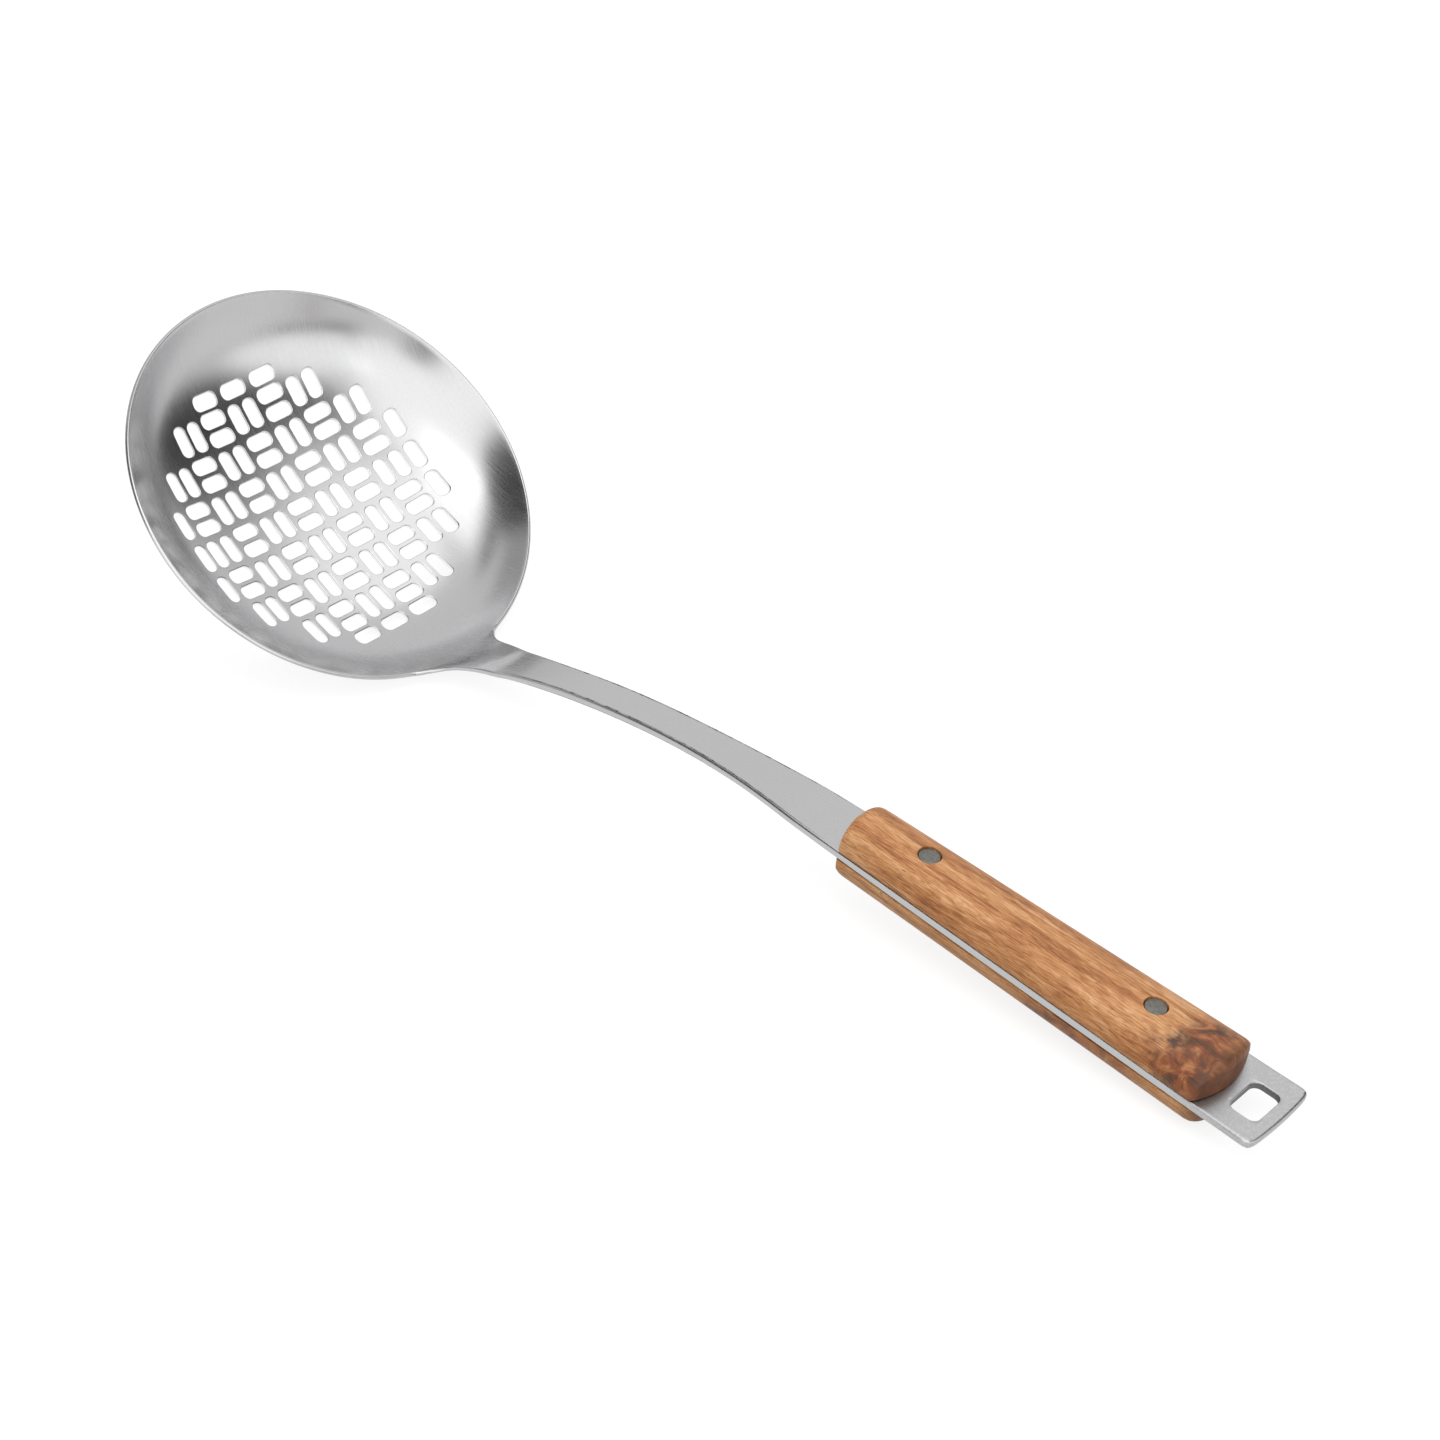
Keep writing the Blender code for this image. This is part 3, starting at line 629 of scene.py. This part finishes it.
headRadius, tubeRadius, pinRadius = (rivet[key] / 2 for key in ("headDiameter", "socketDiameter", "postDiameter"))
gap, headThickness = scale["gap"], rivet["headThickness"]
shoulder = headThickness + gap
boreSteps = (  # wide for the heads and narrow between them
    (headBottom - scale["thickness"], headRadius + gap), (headBottom + shoulder, headRadius + gap),
    (headBottom + shoulder, tubeRadius + gap), (headTop - shoulder, tubeRadius + gap),
    (headTop - shoulder, headRadius + gap), (headTop + scale["thickness"], headRadius + gap))
tubeEnd = headBottom + headThickness + rivet["endRoom"]
socketSteps = (  # a flat head on a tube with a blind bore
    (headTop, headRadius), (headTop - headThickness, headRadius), (headTop - headThickness, tubeRadius),
    (tubeEnd, tubeRadius), (tubeEnd, pinRadius + gap), (headTop - headThickness, pinRadius + gap))
postSteps = (  # a flat head on a pin
    (headBottom, headRadius), (headBottom + headThickness, headRadius), (headBottom + headThickness, pinRadius),
    (headTop - shoulder, pinRadius))

upperScale, lowerScale = makeScale(1), makeScale(-1)
for blank in (upperScale, lowerScale):
    settle(blank, handleFrame)
for blank in (steelBody, upperScale, lowerScale):
    for along in rivetPlaces:
        cutAway(blank, turnedForm(along, boreSteps))
finishPiece(steelBody, "formed_steel_body", steelMaterial, "steel", sheetEdge["smoothAngle"], "steel_body")
steelBody.data.materials.append(shearedEdgePaintedShadeMaterial)
steelBody.data.materials.append(burnishedEdgePaintedLightMaterial)
intoBowl, intoHandle = bowlFrame.inverted(), handleFrame.inverted()
wallCheck = {"reach": 0.51, "lift": 0.4}  # share of the eye's size on each side, and how far a wall's normal may rise
for face in steelBody.data.polygons:  # the punched walls of the eye, which get painted shade, and of the slots, which get painted light
    inBowl, inHandle = intoBowl @ face.center, intoHandle @ face.center
    offLength, offWidth = abs(inHandle.x - eyeMiddle) / eye["length"], abs(inHandle.y) / eye["width"]
    if max(offLength, offWidth) < wallCheck["reach"]:
        face.material_index = int(abs((intoHandle.to_3x3() @ face.normal).z) < wallCheck["lift"])
    elif inBowl.xy.length < slot["edgeDistance"] + slot["length"]:
        face.material_index = 2 * int(abs((intoBowl.to_3x3() @ face.normal).z) < wallCheck["lift"])
finishPiece(upperScale, "shaped_upper_scale", upperWood, "upper_wood", scale["smoothAngle"], "upper_scale")
finishPiece(lowerScale, "shaped_lower_scale", lowerWoodPaintedLight, "lower_wood", scale["smoothAngle"], "lower_scale")

for end, along in zip(("front", "rear"), rivetPlaces):
    for half, steps in (("socket", socketSteps), ("post", postSteps)):
        turned = turnedForm(along, steps)
        applyModifier(turned, "BEVEL", width=rivet["edgeRound"], segments=rivet["edgeSegments"], limit_method="ANGLE",
                      angle_limit=math.radians(rivet["sharpAngle"]), use_clamp_overlap=False)
        node = f"{end}_rivet_{half}"
        finishPiece(turned, "turned_" + node, rivetMaterial, "rivet", rivet["smoothAngle"], node)

# Camera, floor and light
view = {"place": (0.40783, -0.50931, 0.50114), "turn": (53.84887, -3.84404, 40.98057), "lens": 82.277, "sensor": 36}
freshStart()
bpy.ops.object.camera_add(location=view["place"], rotation=[math.radians(turn) for turn in view["turn"]])
camera = bpy.context.object
camera.data.lens = view["lens"]
camera.data.sensor_width = view["sensor"]
bpy.context.scene.camera = camera
bpy.context.scene.view_settings.view_transform = "Standard"


def backgroundRay(tree):  # 1 where a ray should see the plain white background
    path = addNode(tree, "ShaderNodeLightPath")
    either = addNode(tree, "ShaderNodeMath", {"operation": "MAXIMUM"},
                     {0: path.outputs["Is Camera Ray"], 1: path.outputs["Is Glossy Ray"]})
    return addNode(tree, "ShaderNodeMath", {"operation": "MAXIMUM"},
                   {0: either.outputs[0], 1: path.outputs["Is Transmission Ray"]}).outputs[0]


studio = {
    "floorSize": 40, "floorDiffuse": "#909090", "floorRoughness": 0.9, "floorGlow": 0.80,
    "white": "#ffffff", "worldFill": 0.70, "distance": 2.0,
    "softboxes": {  # direction (azimuth, height) in degrees, width and height in metres, watts
        "right_softbox": (-55, 44, 2.8, 2.8, 19), "top_softbox": (-75, 78, 1.2, 1.2, 5),
        "far_softbox": (9, 22, 2.0, 1.0, 4), "fill_softbox": (72, 64, 1.3, 1.2, 3.6),
    },
    "cards": {  # direction, half width and height and roll in degrees, brightness, soft edge share
        "left_card": (57, 28, 50, 25, -45, 0.05, 0.6), "back_card": (-127, 42, 25, 24, 0, 0.04, 0.25),
        "back_strip": (-160, 63, 20, 7, 0, 0.2, 0.7), "small_card": (-55, 12, 15, 11, 0, 0.05, 0.8),
        "far_horizon": (1, 0, 34, 6, -9.5, 0.02, 0.35), "near_horizon": (141, 7, 10, 9, 0, 0.3, 0.6),
        "wall_card": (-177, 42.5, 24, 9, 22, 0.42, 0.6),
    },
}


def towards(azimuth, height):  # a direction from the object
    azimuth, height = math.radians(azimuth), math.radians(height)
    return Vector((math.cos(azimuth) * math.cos(height), math.sin(azimuth) * math.cos(height), math.sin(height)))


freshStart()
bpy.ops.mesh.primitive_plane_add(size=studio["floorSize"])
floor = bpy.context.object
floor.name = "pale_floor"
floorMaterial, floorTree, floorShader = makeMaterial("white_floor")
floorShader.inputs["Base Color"].default_value = linear(studio["floorDiffuse"])
floorShader.inputs["Roughness"].default_value = studio["floorRoughness"]
floorShader.inputs["Specular IOR Level"].default_value = 0
floorShader.inputs["Emission Color"].default_value = linear(studio["white"])
glow = addNode(floorTree, "ShaderNodeMath", {"operation": "MULTIPLY", 1: studio["floorGlow"]},
               {0: backgroundRay(floorTree)})
floorTree.links.new(glow.outputs[0], floorShader.inputs["Emission Strength"])
floor.data.materials.append(floorMaterial)

world = bpy.data.worlds.new("studio")
bpy.context.scene.world = world
world.use_nodes = True
worldTree = world.node_tree
worldTree.nodes.clear()
level = addNode(worldTree, "ShaderNodeMapRange", {"To Min": studio["worldFill"], "To Max": 1.0},
                {"Value": backgroundRay(worldTree)})
plain = addNode(worldTree, "ShaderNodeBackground", {"Color": linear(studio["white"])}, {"Strength": level.outputs[0]})
addNode(worldTree, "ShaderNodeOutputWorld", None, {"Surface": plain.outputs[0]})

for name, (azimuth, height, wide, tall, watts) in studio["softboxes"].items():
    way = towards(azimuth, height)
    bpy.ops.object.light_add(type="AREA", location=way * studio["distance"],
                             rotation=way.to_track_quat("Z", "Y").to_euler())
    softbox = bpy.context.object
    softbox.name = name
    softbox.data.shape = "RECTANGLE"
    softbox.data.size, softbox.data.size_y = wide, tall
    softbox.data.energy = watts

for name, (azimuth, height, halfWidth, halfHeight, roll, shade, soft) in studio["cards"].items():
    way = towards(azimuth, height)  # a dark card that only the steel's reflections see, as in a photo studio
    facing = way.to_track_quat("Z", "Y").to_matrix() @ Matrix.Rotation(math.radians(roll), 3, "Z")
    bpy.ops.mesh.primitive_plane_add(size=2, location=way * studio["distance"], rotation=facing.to_euler())
    card = bpy.context.object
    card.name = name
    card.scale = [studio["distance"] * math.tan(math.radians(half)) for half in (halfWidth, halfHeight)] + [1]
    card.visible_camera = card.visible_diffuse = card.visible_shadow = card.visible_transmission = False
    cardMaterial, cardTree, _ = makeMaterial(name + "_felt")
    cardSpot = addNode(cardTree, "ShaderNodeTexCoord").outputs["Object"]
    away = addNode(cardTree, "ShaderNodeVectorMath", {"operation": "LENGTH"}, {0: cardSpot})
    mask = addNode(cardTree, "ShaderNodeMapRange",
                   {"From Min": 1.0, "From Max": 1.0 - soft, "interpolation_type": "SMOOTHSTEP"},
                   {"Value": away.outputs["Value"]})
    clear = addNode(cardTree, "ShaderNodeBsdfTransparent")
    felt = addNode(cardTree, "ShaderNodeEmission", {"Strength": shade})
    blend = addNode(cardTree, "ShaderNodeMixShader", None,
                    {0: mask.outputs[0], 1: clear.outputs[0], 2: felt.outputs[0]})
    cardTree.links.new(blend.outputs[0], cardTree.nodes["Material Output"].inputs["Surface"])
    card.data.materials.append(cardMaterial)
print("studio set")
